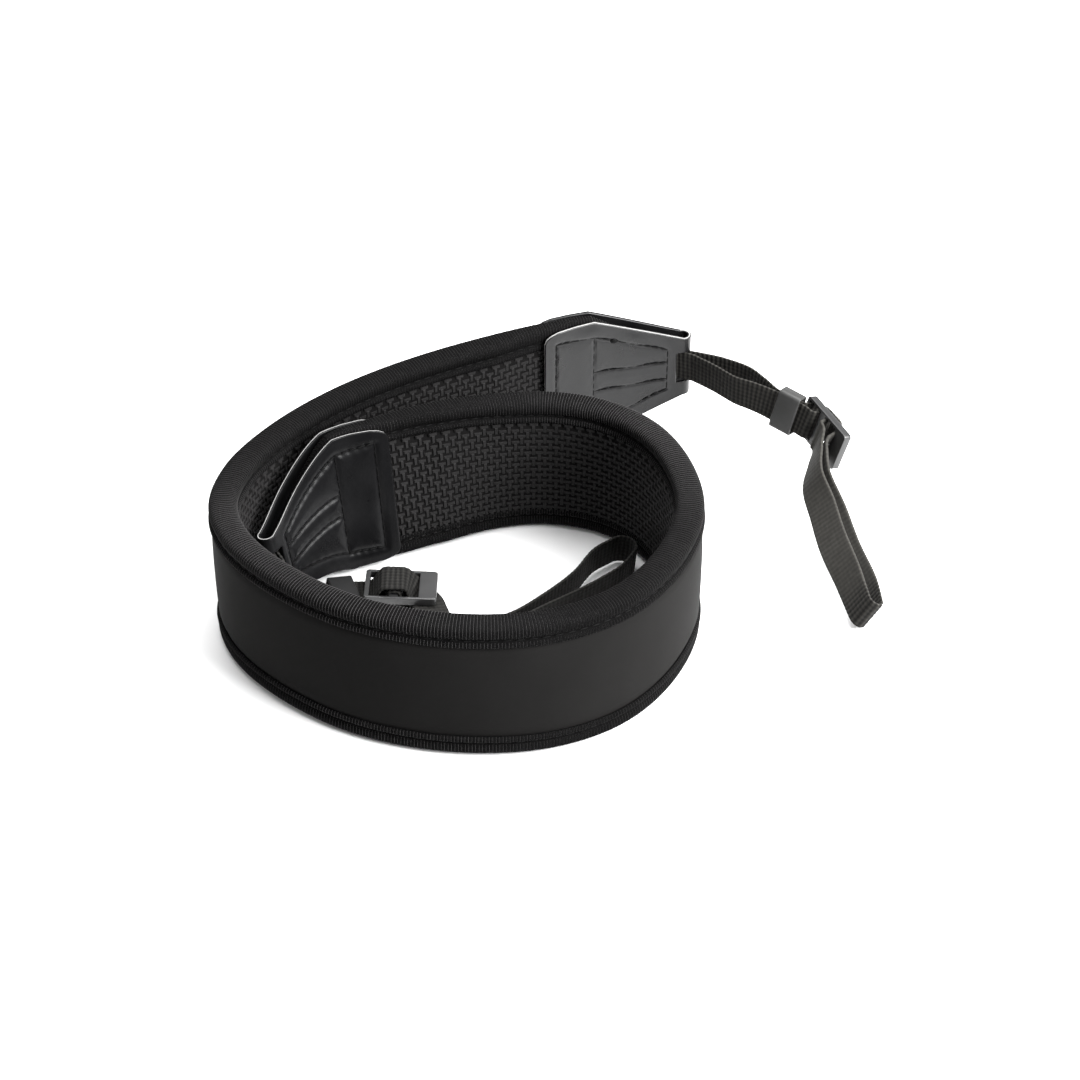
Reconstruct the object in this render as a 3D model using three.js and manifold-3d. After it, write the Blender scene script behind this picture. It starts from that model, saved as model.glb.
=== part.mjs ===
// Padded camera neck strap, standing coiled on its long edge.
// Millimetres, +Z up. The origin is under the middle of the strap, on the surface it stands on.
import * as THREE from 'three';
import { mergeVertices } from 'three/addons/utils/BufferGeometryUtils.js';
import Module from 'manifold-3d';

const wasm = await Module();
wasm.setup();

// Driving sizes
const padWidth = 44; // height of the pad as it stands
const padThickness = 7.8; // over the rolled edges
const fitGap = 0.3; // between pieces that touch
const padSteps = 70; // sections along the pad
const coilDivisions = 1200; // for the length along the coil
const foldSteps = 6; // facets round a tab's fold
const weldDistance = 1e-4; // corners closer than this are one
const tabWall = 1.0; // leatherette
const tabGap = 0.7; // from the pad's face to the tab, clear of the tape's raised lip
const tabLength = 44;
const tabApex = 28; // from the fold to where the tab is full height
const padEndInTab = 8; // from the fold of the tab back to the end of the pad
const webWidth = 9.5;
const webThickness = 1.0;
const innerEndLean = 9; // degrees, the inner end leans outwards at the top
const innerEndLeanRun = 90; // length over which that lean grows
const innerEndDroop = 4.5; // the inner tab's fold hangs this much lower

// Outer face of the strap seen from above, from the outer tab's fold round to the inner tab's fold
const coilRows = [
  { x: 64.4, y: 97.8 },
  { x: 36.5, y: 91.0 },
  { x: 10.5, y: 82.0 },
  { x: -17.0, y: 68.0 },
  { x: -37.0, y: 53.5 },
  { x: -52.5, y: 37.0 },
  { x: -62.5, y: 20.0 },
  { x: -65.5, y: 3.0 },
  { x: -60.5, y: -12.5 },
  { x: -47.5, y: -28.0 },
  { x: -26.0, y: -42.5 },
  { x: 0.0, y: -49.5 },
  { x: 25.5, y: -48.0 },
  { x: 45.0, y: -38.5 },
  { x: 59.0, y: -21.5 },
  { x: 66.5, y: 0.5 },
  { x: 64.0, y: 21.5 },
  { x: 55.5, y: 38.5 },
  { x: 42.5, y: 49.0 },
  { x: 26.0, y: 53.5 },
  { x: 9.5, y: 52.0 },
  { x: -6.5, y: 46.5 },
  { x: -21.5, y: 38.5 },
  { x: -34.0, y: 31.5 },
  { x: -44.5, y: 20.5 },
  { x: -51.5, y: 8.5 },
];

// How the pad thins and narrows into each tab, by distance from the tab's fold
const endRows = [
  { fromFold: 0, thickness: 2.0, width: 15.5 },
  { fromFold: padEndInTab, thickness: 2.2, width: 16 },
  { fromFold: tabApex, thickness: 3.2, width: 42.4 },
  { fromFold: 33, thickness: 3.8, width: padWidth },
  { fromFold: tabLength, thickness: 5.4, width: padWidth },
  { fromFold: 60, thickness: padThickness, width: padWidth },
];

// Outline of a tab, by distance from its fold: its square end has rounded corners
const tabRows = [
  { fromFold: 0, height: 20 },
  { fromFold: 7, height: 25.5 },
  { fromFold: 14, height: 31 },
  { fromFold: 21, height: 36.5 },
  { fromFold: tabApex, height: 42 },
  { fromFold: 34, height: 42 },
  { fromFold: 39.5, height: 41.4 },
  { fromFold: 41.8, height: 40.2 },
  { fromFold: 43.3, height: 38.4 },
  { fromFold: tabLength, height: 35.4 },
];

// Half of the pad's section: depth from the outer face, height from the lower edge
const panelDepth = { edge: 1.6, underLip: 0.9, face: 0.35, crown: 0.15 };
const panelHeight = { end: 1.4, groove: 4.2, lip: 6.6, face: 8.2 };
const tape = { lipEnd: -0.1, lip: -0.35, groove: 0.45, side: 0, shoulder: 1.4, inside: 1.3, lipInside: 0.6 };
const tapeHeight = { crest: 0, shoulder: 0.4, side: 2.0, groove: 4.2, lip: 5.4, lipEnd: 6.6, inside: 1.1 };

// The doubled webbing of each end: middle line between its two layers, turn of its width from upright
// in degrees, and gap between the layers' middles. The last row is where the loop turns back.
const closedGap = 1.35;
const webRowsRight = [
  { x: 68.4, y: 94.4, z: 22.2, turn: 0, gap: 1.6 },
  { x: 75.3, y: 90.0, z: 22.4, turn: 0, gap: 4.6 },
  { x: 81.2, y: 85.3, z: 22.4, turn: 0, gap: 6.6 },
  { x: 86.5, y: 80.2, z: 22.3, turn: -6, gap: 4.2 },
  { x: 90.8, y: 75.8, z: 21.9, turn: -12, gap: closedGap },
  { x: 94.6, y: 73.2, z: 21.4, turn: -15, gap: closedGap },
  { x: 98.0, y: 70.6, z: 20.8, turn: -15, gap: closedGap },
  { x: 99.75, y: 69.05, z: 20.5, turn: -15, gap: closedGap },
  { x: 101.45, y: 65.95, z: 20.2, turn: -15, gap: closedGap },
  { x: 103.4, y: 61.9, z: 19.7, turn: -15, gap: closedGap },
  { x: 102.4, y: 56.0, z: 18.0, turn: -20, gap: 1.6 },
  { x: 101.6, y: 47.5, z: 15.4, turn: -30, gap: 3.0 },
  { x: 104.2, y: 37.5, z: 11.8, turn: -42, gap: 5.0 },
  { x: 106.7, y: 26.0, z: 8.9, turn: -45, gap: 6.4 },
  { x: 110.3, y: 13.0, z: 6.9, turn: -38, gap: 6.0 },
  { x: 112.2, y: 2.5, z: 5.8, turn: -30, gap: 4.4 },
];
const webRowsLeft = [
  { x: -48.0, y: 5.0, z: 17.4, turn: 0, gap: 1.6 },
  { x: -46.0, y: 1.6, z: 16.4, turn: 6, gap: 1.8 },
  { x: -43.0, y: 0.6, z: 12.8, turn: 22, gap: 1.9 },
  { x: -39.9, y: 4.6, z: 7.8, turn: 58, gap: 1.7 },
  { x: -36.9, y: 9.4, z: 4.0, turn: 86, gap: closedGap },
  { x: -31.6, y: 12.1, z: 3.0, turn: 90, gap: closedGap },
  { x: -27.3, y: 12.9, z: 2.5, turn: 90, gap: closedGap },
  { x: -22.4, y: 13.3, z: 2.25, turn: 90, gap: closedGap },
  { x: -17.6, y: 13.3, z: 2.2, turn: 90, gap: closedGap },
  { x: -12.3, y: 13.0, z: 2.0, turn: 90, gap: closedGap },
  { x: -8.9, y: 10.4, z: 1.75, turn: 88, gap: closedGap },
  { x: -7.2, y: 5.9, z: 2.2, turn: 80, gap: closedGap },
  { x: -5.2, y: 1.2, z: 3.35, turn: 62, gap: closedGap },
  { x: -1.2, y: -3.2, z: 4.6, turn: 40, gap: 1.6 },
  { x: 5.2, y: -5.9, z: 5.25, turn: 22, gap: 1.8 },
  { x: 14.0, y: -4.2, z: 5.3, turn: 12, gap: 2.2 },
  { x: 24.0, y: 3.0, z: 5.3, turn: 8, gap: 3.4 },
  { x: 34.4, y: 12.2, z: 5.3, turn: 6, gap: 6.4 },
  { x: 41.4, y: 20.8, z: 5.4, turn: 6, gap: 9.6 },
  { x: 45.6, y: 25.8, z: 5.4, turn: 6, gap: 7.6 },
];
const webRoot = { deep: 6.4, shallow: 1.4 }; // run inside the tab, from its fold
const webSteps = { run: 46, turn: 6, perRow: 100 };

// Slider: three bars across two slots, both layers of webbing hump over its middle bar
const slider = {
  width: 12.2,
  thickness: 2.4,
  slotWidth: 10.4,
  middleBar: 1.2, // half
  slotEnd: 6.9, // from the middle bar's centre line
  nearEnd: 8.2,
  farEnd: 11.8,
  corner: 1.2,
};
const hump = {
  rise: slider.thickness + closedGap + webThickness + 2 * fitGap,
  under: { flat: 1.4, foot: 4.3 }, // layer against the bar
  over: { flat: 2.6, foot: 5.7 }, // layer on top of it
  steps: 20,
};
const keeper = {
  length: 7.0,
  width: 12.4,
  thickness: 4.8,
  corner: 1.2,
  opening: { width: 11.0, thickness: 3.6, corner: 0.4 },
};
const cornerSteps = 3; // facets of each moulded corner
// Rows of both webbing tables at which the keeper and the slider's middle bar sit
const keeperRow = 5;
const sliderRow = 8;

// Shared helpers
const material = (color, roughness) => new THREE.MeshStandardMaterial({ color, roughness, metalness: 0 });
const materials = {
  neoprene: material(0x1b1b1d, 0.6),
  mesh: material(0x141314, 0.85),
  tape: material(0x1a191b, 0.75),
  leatherette: material(0x2a2a2d, 0.5),
  webbing: material(0x1c1b19, 0.8),
  plastic: material(0x17171a, 0.35),
};

function readRow(rows, key, at) {
  const last = rows.length - 1;
  if (at <= rows[0].fromFold) return rows[0][key];
  if (at >= rows[last].fromFold) return rows[last][key];
  const i = rows.findIndex((row) => row.fromFold > at);
  const share = (at - rows[i - 1].fromFold) / (rows[i].fromFold - rows[i - 1].fromFold);
  return THREE.MathUtils.lerp(rows[i - 1][key], rows[i][key], share);
}

// Closed solid through rings of equal size; contour is the ring's flat outline, for the end caps
function loft(rings, contour) {
  const size = contour.length;
  const points = rings.flat();
  const faces = [];
  for (let r = 0; r + 1 < rings.length; r++) {
    for (let i = 0; i < size; i++) {
      const a = r * size + i;
      const b = r * size + ((i + 1) % size);
      faces.push(a, b, b + size, a, b + size, a + size);
    }
  }
  const lastRing = (rings.length - 1) * size;
  const outline = THREE.ShapeUtils.isClockWise(contour) ? [...contour].reverse() : contour;
  for (const [a, b, c] of THREE.ShapeUtils.triangulateShape(outline, [])) {
    const [i, j, k] = [a, b, c].map((index) => contour.indexOf(outline[index]));
    faces.push(...windLike(contour, k, j, i));
    faces.push(...windLike(contour, k, j, i).map((index) => lastRing + index).reverse());
  }
  return orient(points, faces);
}

// Cap triangle turned to run against the ring's own direction
function windLike(contour, a, b, c) {
  const turn = (contour[b].x - contour[a].x) * (contour[c].y - contour[a].y)
    - (contour[b].y - contour[a].y) * (contour[c].x - contour[a].x);
  const ring = THREE.ShapeUtils.area(contour);
  return turn * ring < 0 ? [a, b, c] : [a, c, b];
}

function orient(points, faces) {
  let volume = 0;
  for (let i = 0; i < faces.length; i += 3) {
    const [a, b, c] = [points[faces[i]], points[faces[i + 1]], points[faces[i + 2]]];
    volume += a.dot(new THREE.Vector3().crossVectors(b, c));
  }
  const index = volume < 0 ? [...faces].reverse() : faces;
  const geometry = new THREE.BufferGeometry();
  const numbers = points.flatMap((p) => [p.x, p.y, p.z]);
  geometry.setAttribute('position', new THREE.Float32BufferAttribute(numbers, 3));
  geometry.setIndex(index);
  return geometry;
}

function toManifold(geometry) {
  const bare = geometry.clone();
  bare.deleteAttribute('normal');
  bare.deleteAttribute('uv');
  const merged = mergeVertices(bare, weldDistance);
  const mesh = new wasm.Mesh({
    numProp: 3,
    vertProperties: Float32Array.from(merged.attributes.position.array),
    triVerts: Uint32Array.from(merged.index.array),
  });
  return new wasm.Manifold(mesh);
}

function fromManifold(solid) {
  const mesh = solid.getMesh();
  const geometry = new THREE.BufferGeometry();
  geometry.setAttribute('position', new THREE.BufferAttribute(Float32Array.from(mesh.vertProperties), 3));
  geometry.setIndex([...mesh.triVerts]);
  return geometry;
}

// Pad and tabs: a place in the strap is (distance along, depth from outer face, height from lower edge)
const coil = new THREE.CatmullRomCurve3(coilRows.map((row) => new THREE.Vector3(row.x, row.y, padWidth / 2)));
coil.arcLengthDivisions = coilDivisions;
const coilLength = coil.getLength();
const foldDistance = (along) => Math.min(along, coilLength - along);
const thicknessAt = (along) => readRow(endRows, 'thickness', foldDistance(along));

function strapPoint(along, depth, height) {
  const share = THREE.MathUtils.clamp(along / coilLength, 0, 1);
  const centre = coil.getPointAt(share);
  const ahead = coil.getTangentAt(share);
  const lean = THREE.MathUtils.degToRad(innerEndLean)
    * THREE.MathUtils.smoothstep(along, coilLength - innerEndLeanRun, coilLength - tabLength);
  const inwards = new THREE.Vector3(-ahead.y, ahead.x, 0);
  const up = new THREE.Vector3(0, 0, 1);
  const across = inwards.clone().multiplyScalar(Math.cos(lean)).addScaledVector(up, Math.sin(lean));
  const tall = up.clone().multiplyScalar(Math.cos(lean)).addScaledVector(inwards, -Math.sin(lean));
  const past = along - share * coilLength;
  const droop = innerEndDroop * THREE.MathUtils.smoothstep(along, coilLength - tabApex, coilLength);
  return centre.addScaledVector(across, depth).addScaledVector(tall, height - padWidth / 2 - droop)
    .addScaledVector(ahead, past);
}

const padAlong = Array.from({ length: padSteps + 1 }, (_, i) =>
  THREE.MathUtils.lerp(padEndInTab, coilLength - padEndInTab, i / padSteps));

// Sweeps a flat section along the pad, squeezed to the pad's thickness and width at each step
function sweepPad(section) {
  const contour = section.map(([depth, height]) => new THREE.Vector2(depth, height));
  const rings = padAlong.map((along) => {
    const thin = thicknessAt(along) / padThickness;
    const narrow = readRow(endRows, 'width', foldDistance(along)) / padWidth;
    return contour.map((p) =>
      strapPoint(along, p.x * thin, padWidth / 2 + (p.y - padWidth / 2) * narrow));
  });
  return loft(rings, contour);
}

function panelSection(side) {
  const { edge, underLip, face, crown } = panelDepth;
  const { end, groove, lip, face: faceStart } = panelHeight;
  const half = [[edge, end], [edge, groove], [underLip, lip], [face, faceStart]];
  const mirrored = half.map(([depth, height]) => [depth, padWidth - height]).reverse();
  const middle = padThickness / 2 - fitGap / 2;
  const section = [...half, [crown, padWidth / 2], ...mirrored, [middle, padWidth - end], [middle, end]];
  return side === 'outer' ? section : section.map(([depth, height]) => [padThickness - depth, height]);
}

function bindingSection(edge) {
  const outside = [
    [tape.lipEnd, tapeHeight.lipEnd],
    [tape.lip, tapeHeight.lip],
    [tape.groove, tapeHeight.groove],
    [tape.side, tapeHeight.side],
    [tape.shoulder, tapeHeight.shoulder],
  ];
  const inside = [
    [tape.lipInside, tapeHeight.lipEnd],
    [tape.inside, tapeHeight.groove],
    [tape.inside, tapeHeight.inside],
  ];
  const across = ([depth, height]) => [padThickness - depth, height];
  const foot = edge === 'bottom' ? [] : [[padThickness / 2, tapeHeight.crest]];
  const flatFoot = edge === 'bottom' ? 0 : tapeHeight.shoulder;
  const lower = outside.map(([depth, height], i) => [depth, i === outside.length - 1 ? flatFoot : height]);
  const ring = [
    ...lower, ...foot, ...lower.map(across).reverse(),
    ...inside.map(across), ...[...inside].reverse(),
  ];
  return edge === 'bottom' ? ring : ring.map(([depth, height]) => [depth, padWidth - height]);
}

// A tab is one sheet: along the inner face, round the fold, back along the outer face
function tabGeometry(end) {
  const along = (fromFold) => (end === 'right' ? fromFold : coilLength - fromFold);
  const heights = (fromFold) => {
    const height = readRow(tabRows, 'height', fromFold);
    return [padWidth / 2 - height / 2, padWidth / 2 + height / 2];
  };
  const rectangle = (fromFold, at, near, far) => {
    const [low, high] = heights(fromFold);
    return [
      strapPoint(at(near)[0], at(near)[1], low), strapPoint(at(far)[0], at(far)[1], low),
      strapPoint(at(far)[0], at(far)[1], high), strapPoint(at(near)[0], at(near)[1], high),
    ];
  };
  const rings = [];
  const stations = tabRows.map((row) => row.fromFold);
  for (const fromFold of [...stations].reverse()) {
    const face = thicknessAt(along(fromFold));
    rings.push(rectangle(fromFold, (offset) => [along(fromFold), face + offset], tabGap, tabGap + tabWall));
  }
  const foldMiddle = endRows[0].thickness / 2;
  for (let i = 1; i < foldSteps; i++) {
    const angle = (Math.PI * i) / foldSteps;
    const round = (offset) => {
      const radius = foldMiddle + offset;
      return [along(-radius * Math.sin(angle)), foldMiddle + radius * Math.cos(angle)];
    };
    rings.push(rectangle(0, round, tabGap, tabGap + tabWall));
  }
  for (const fromFold of stations) {
    rings.push(rectangle(fromFold, (offset) => [along(fromFold), -offset], tabGap, tabGap + tabWall));
  }
  const contour = [[0, 0], [1, 0], [1, 1], [0, 1]].map(([x, y]) => new THREE.Vector2(x, y));
  return loft(rings, contour);
}

// Doubled webbing: frames along its middle line, with the width turned as the table says
function webFrames(rows) {
  const line = new THREE.CatmullRomCurve3(rows.map((row) => new THREE.Vector3(row.x, row.y, row.z)));
  const shape = new THREE.CatmullRomCurve3(rows.map((row) => new THREE.Vector3(row.turn, row.gap, 0)));
  const divisions = webSteps.perRow * (rows.length - 1);
  line.arcLengthDivisions = divisions;
  const up = new THREE.Vector3(0, 0, 1);
  const frame = (share) => {
    const t = line.getUtoTmapping(share);
    const ahead = line.getTangent(t);
    const side = new THREE.Vector3().crossVectors(ahead, up).normalize();
    const rise = new THREE.Vector3().crossVectors(side, ahead);
    const { x: turn, y: gap } = shape.getPoint(t);
    const angle = THREE.MathUtils.degToRad(turn);
    const width = rise.multiplyScalar(Math.cos(angle)).addScaledVector(side, Math.sin(angle));
    const face = new THREE.Vector3().crossVectors(width, ahead);
    return { point: line.getPoint(t), ahead, width, face, gap };
  };
  const lengths = line.getLengths(divisions);
  const length = lengths[divisions];
  const shareOfRow = (row) => lengths[webSteps.perRow * row] / length;
  return { frame, length, shareOfRow };
}

function ribbonRing(point, width, face) {
  const corners = [[-1, -1], [1, -1], [1, 1], [-1, 1]];
  return corners.map(([w, f]) => point.clone().addScaledVector(width, (w * webWidth) / 2)
    .addScaledVector(face, (f * webThickness) / 2));
}

// Height of a humped layer above its straight run, by distance from the slider's middle bar
function humpAt(distance, sign) {
  const { flat, foot } = sign > 0 ? hump.over : hump.under;
  return hump.rise * (1 - THREE.MathUtils.smoothstep(Math.abs(distance), flat, foot));
}

// A place of one layer of the webbing between the two sheets of a tab, side 0 is midway between layers
function rootStation(end, fromFold, side) {
  const along = end === 'right' ? fromFold : coilLength - fromFold;
  const depth = thicknessAt(along) / 2 + (side * closedGap) / 2;
  const point = strapPoint(along, depth, padWidth / 2);
  const width = strapPoint(along, depth, padWidth).sub(point).normalize();
  return { point, width };
}

function webbingGeometry(rows, end) {
  const { frame, length, shareOfRow } = webFrames(rows);
  const sliderAt = shareOfRow(sliderRow);
  const shares = [];
  for (let i = 0; i <= webSteps.run; i++) shares.push(i / webSteps.run);
  const humpShares = [];
  for (let i = 0; i <= hump.steps; i++) {
    humpShares.push(sliderAt + (hump.over.foot * ((2 * i) / hump.steps - 1)) / length);
  }
  const outside = shares.filter((share) => share < humpShares[0] || share > humpShares[hump.steps]);
  const humped = [...outside, ...humpShares].sort((a, b) => a - b);
  const layer = (share, sign) => {
    const f = frame(share);
    const lift = sign * (f.gap / 2) + humpAt((share - sliderAt) * length, sign);
    return { point: f.point.clone().addScaledVector(f.face, lift), width: f.width };
  };
  const first = end === 'right' ? -1 : 1; // the layer that leaves the tab on its inner side
  const depths = [webRoot.deep, webRoot.shallow];
  const rooting = (side) => depths.map((fromFold) => rootStation(end, fromFold, side));
  const bend = [];
  const tip = frame(1);
  for (let i = 1; i < webSteps.turn; i++) {
    const angle = (Math.PI * i) / webSteps.turn;
    const point = tip.point.clone().addScaledVector(tip.face, first * (tip.gap / 2) * Math.cos(angle))
      .addScaledVector(tip.ahead, (tip.gap / 2) * Math.sin(angle));
    bend.push({ point, width: tip.width });
  }
  const stations = [
    ...rooting(1),
    ...humped.map((share) => layer(share, first)),
    ...bend,
    ...humped.map((share) => layer(share, -first)).reverse(),
    ...rooting(-1).reverse(),
  ];
  const rings = stations.map((station, i) => {
    const before = stations[Math.max(i - 1, 0)].point;
    const after = stations[Math.min(i + 1, stations.length - 1)].point;
    const ahead = after.clone().sub(before).normalize();
    const face = new THREE.Vector3().crossVectors(station.width, ahead).normalize();
    const width = new THREE.Vector3().crossVectors(ahead, face);
    return ribbonRing(station.point, width, face);
  });
  const contour = [[-1, -1], [1, -1], [1, 1], [-1, 1]].map(([x, y]) => new THREE.Vector2(x, y));
  return loft(rings, contour);
}

// Turns a geometry built with x along the webbing, y across it and z through it into place at a row
function seatOnWebbing(geometry, rows, row, lift) {
  const { frame, shareOfRow } = webFrames(rows);
  const { point, ahead, width, face } = frame(shareOfRow(row));
  const basis = new THREE.Matrix4().makeBasis(ahead, width.clone().negate(), face);
  basis.setPosition(point.clone().addScaledVector(face, lift));
  return geometry.applyMatrix4(basis);
}

function roundedRectangle(target, left, right, low, high, corner) {
  target.moveTo(left + corner, low);
  target.lineTo(right - corner, low);
  target.absarc(right - corner, low + corner, corner, -Math.PI / 2, 0);
  target.lineTo(right, high - corner);
  target.absarc(right - corner, high - corner, corner, 0, Math.PI / 2);
  target.lineTo(left + corner, high);
  target.absarc(left + corner, high - corner, corner, Math.PI / 2, Math.PI);
  target.lineTo(left, low + corner);
  target.absarc(left + corner, low + corner, corner, Math.PI, Math.PI * 1.5);
  return target;
}

function sliderGeometry() {
  const half = slider.width / 2;
  const halfSlot = slider.slotWidth / 2;
  const sides = [-slider.nearEnd, slider.farEnd, -half, half];
  const plate = roundedRectangle(new THREE.Shape(), ...sides, slider.corner);
  const slotCorner = slider.corner / 3;
  for (const [from, to] of [[-slider.slotEnd, -slider.middleBar], [slider.middleBar, slider.slotEnd]]) {
    plate.holes.push(roundedRectangle(new THREE.Path(), from, to, -halfSlot, halfSlot, slotCorner));
  }
  const options = { depth: slider.thickness, bevelEnabled: false, curveSegments: cornerSteps };
  return new THREE.ExtrudeGeometry(plate, options);
}

function keeperGeometry() {
  const { width, thickness, corner, opening, length } = keeper;
  const sides = [-thickness / 2, thickness / 2, -width / 2, width / 2];
  const sleeve = roundedRectangle(new THREE.Shape(), ...sides, corner);
  const holeSides = [-opening.thickness / 2, opening.thickness / 2, -opening.width / 2, opening.width / 2];
  sleeve.holes.push(roundedRectangle(new THREE.Path(), ...holeSides, opening.corner));
  const extrusion = { depth: length, bevelEnabled: false, curveSegments: cornerSteps };
  const geometry = new THREE.ExtrudeGeometry(sleeve, extrusion);
  return geometry.rotateY(Math.PI / 2).translate(-length / 2, 0, 0);
}

// Slit through which the webbing leaves the tab
const slit = { height: webWidth + 1.4, width: webThickness + 2.4, reach: 9, back: 1 };
function cutSlit(tab, rows, end) {
  const exit = new THREE.Vector3(rows[0].x, rows[0].y, rows[0].z);
  const from = rootStation(end, webRoot.shallow, 0).point;
  const heading = exit.clone().sub(from).normalize();
  const box = new THREE.BoxGeometry(slit.reach, slit.width, slit.height);
  const side = new THREE.Vector3().crossVectors(new THREE.Vector3(0, 0, 1), heading).normalize();
  const rise = new THREE.Vector3().crossVectors(heading, side);
  const basis = new THREE.Matrix4().makeBasis(heading, side, rise);
  basis.setPosition(from.clone().addScaledVector(heading, slit.reach / 2 - slit.back));
  box.applyMatrix4(basis);
  return fromManifold(toManifold(tab).subtract(toManifold(box)));
}

// The strap
const strap = new THREE.Group();
const coiled = new THREE.Group();
strap.add(coiled);

function addPiece(name, geometry, finish) {
  const piece = new THREE.Mesh(geometry, finish);
  piece.name = name;
  coiled.add(piece);
}

addPiece('outer_panel', sweepPad(panelSection('outer')), materials.neoprene);
addPiece('inner_panel', sweepPad(panelSection('inner')), materials.mesh);
addPiece('binding_top', sweepPad(bindingSection('top')), materials.tape);
addPiece('binding_bottom', sweepPad(bindingSection('bottom')), materials.tape);

const ends = { right: webRowsRight, left: webRowsLeft };
const plateLift = closedGap / 2 + webThickness / 2 + fitGap;
for (const [end, rows] of Object.entries(ends)) {
  addPiece(`tab_${end}`, cutSlit(tabGeometry(end), rows, end), materials.leatherette);
  addPiece(`webbing_${end}`, webbingGeometry(rows, end), materials.webbing);
  addPiece(`keeper_${end}`, seatOnWebbing(keeperGeometry(), rows, keeperRow, 0), materials.plastic);
  addPiece(`slider_${end}`, seatOnWebbing(sliderGeometry(), rows, sliderRow, plateLift), materials.plastic);
}

// The origin goes under the middle of the strap
const middle = new THREE.Box3().setFromObject(coiled).getCenter(new THREE.Vector3());
coiled.position.set(-middle.x, -middle.y, 0);

export default strap;
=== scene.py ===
import math

import bpy
import bmesh
import numpy as np
from mathutils import Matrix, Vector


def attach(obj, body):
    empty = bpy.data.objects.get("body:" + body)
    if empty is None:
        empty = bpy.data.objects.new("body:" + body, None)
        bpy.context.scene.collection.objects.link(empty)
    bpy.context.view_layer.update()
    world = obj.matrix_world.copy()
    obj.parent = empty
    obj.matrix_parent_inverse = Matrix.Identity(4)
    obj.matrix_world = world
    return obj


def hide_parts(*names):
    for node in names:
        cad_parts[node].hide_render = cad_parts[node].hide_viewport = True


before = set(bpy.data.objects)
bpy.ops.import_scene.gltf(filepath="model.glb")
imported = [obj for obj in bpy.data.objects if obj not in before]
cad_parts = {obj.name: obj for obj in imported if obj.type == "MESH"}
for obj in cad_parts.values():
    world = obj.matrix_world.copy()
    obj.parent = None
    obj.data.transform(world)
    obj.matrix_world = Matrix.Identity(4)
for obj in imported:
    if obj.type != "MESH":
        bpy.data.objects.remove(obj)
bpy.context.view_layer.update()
print("frame loaded")

mm = 0.001
coilShift = np.array([25.5388, 24.5836, 0.0])  # from the coil's own origin to the strap's, mm
upright = np.array([0.0, 0.0, 1.0])
tiny = 1e-4  # spans below this count as none, and a line's direction is read this far to each side


# smooth lines, the same ones that the solids follow
def lineSpots(points, t):
    n = len(points)
    ends = np.vstack([2 * points[0] - points[1], points, 2 * points[-1] - points[-2]])
    place = np.clip(t, 0, 1) * (n - 1)
    i = np.minimum(place.astype(int), n - 2)
    w = (place - i)[:, None]
    a, b, c, d = ends[i], ends[i + 1], ends[i + 2], ends[i + 3]
    spans = [((p - q) ** 2).sum(1) ** 0.25 for p, q in ((a, b), (b, c), (c, d))]
    middle = np.where(spans[1] < tiny, 1.0, spans[1])[:, None]
    before = np.where(spans[0] < tiny, middle[:, 0], spans[0])[:, None]
    after = np.where(spans[2] < tiny, middle[:, 0], spans[2])[:, None]
    leave = ((b - a) / before - (c - a) / (before + middle) + (c - b) / middle) * middle
    arrive = ((c - b) / middle - (d - b) / (middle + after) + (d - c) / after) * middle
    square = -3 * b + 3 * c - 2 * leave - arrive
    cube = 2 * b - 2 * c + leave + arrive
    return b + leave * w + square * w ** 2 + cube * w ** 3


def makeLine(points, divisions):
    points = np.array(points, float)
    t = np.linspace(0, 1, divisions + 1)
    steps = np.linalg.norm(np.diff(lineSpots(points, t), axis=0), axis=1)
    run = np.concatenate([[0], np.cumsum(steps)])
    return {"points": points, "t": t, "run": run, "length": run[-1]}


def unitRows(rows):
    return rows / np.linalg.norm(rows, axis=1)[:, None]


def followLine(line, t):
    near = lineSpots(line["points"], np.minimum(t + tiny, 1))
    ahead = near - lineSpots(line["points"], np.maximum(t - tiny, 0))
    return lineSpots(line["points"], t), unitRows(ahead)


def smoothStep(value, low, high):
    x = np.clip((value - low) / (high - low), 0, 1)
    return x * x * (3 - 2 * x)


# pad: its line seen from above, its ends, its lean
pad = {
    "width": 44.0, "thickness": 7.8, "endInTab": 8.0, "lean": 9.0, "leanRun": 90.0, "droop": 4.5,
    "lineSteps": 1200, "steps": 400, "waviness": 0.12,
    "waves": [(1.0, 17.0, 0.0), (0.6, 7.3, 1.0)],  # share, length, start
    "rows": [
        (64.4, 97.8), (36.5, 91.0), (10.5, 82.0), (-17.0, 68.0), (-37.0, 53.5), (-52.5, 37.0),
        (-62.5, 20.0), (-65.5, 3.0), (-60.5, -12.5), (-47.5, -28.0), (-26.0, -42.5), (0.0, -49.5),
        (25.5, -48.0), (45.0, -38.5), (59.0, -21.5), (66.5, 0.5), (64.0, 21.5), (55.5, 38.5),
        (42.5, 49.0), (26.0, 53.5), (9.5, 52.0), (-6.5, 46.5), (-21.5, 38.5), (-34.0, 31.5),
        (-44.5, 20.5), (-51.5, 8.5),
    ],
    # from the fold, thickness, width
    "endRows": [
        (0, 2.0, 15.5), (8, 2.2, 16), (28, 3.2, 42.4), (33, 3.8, 44), (44, 5.4, 44), (60, 7.8, 44),
    ],
}
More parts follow.
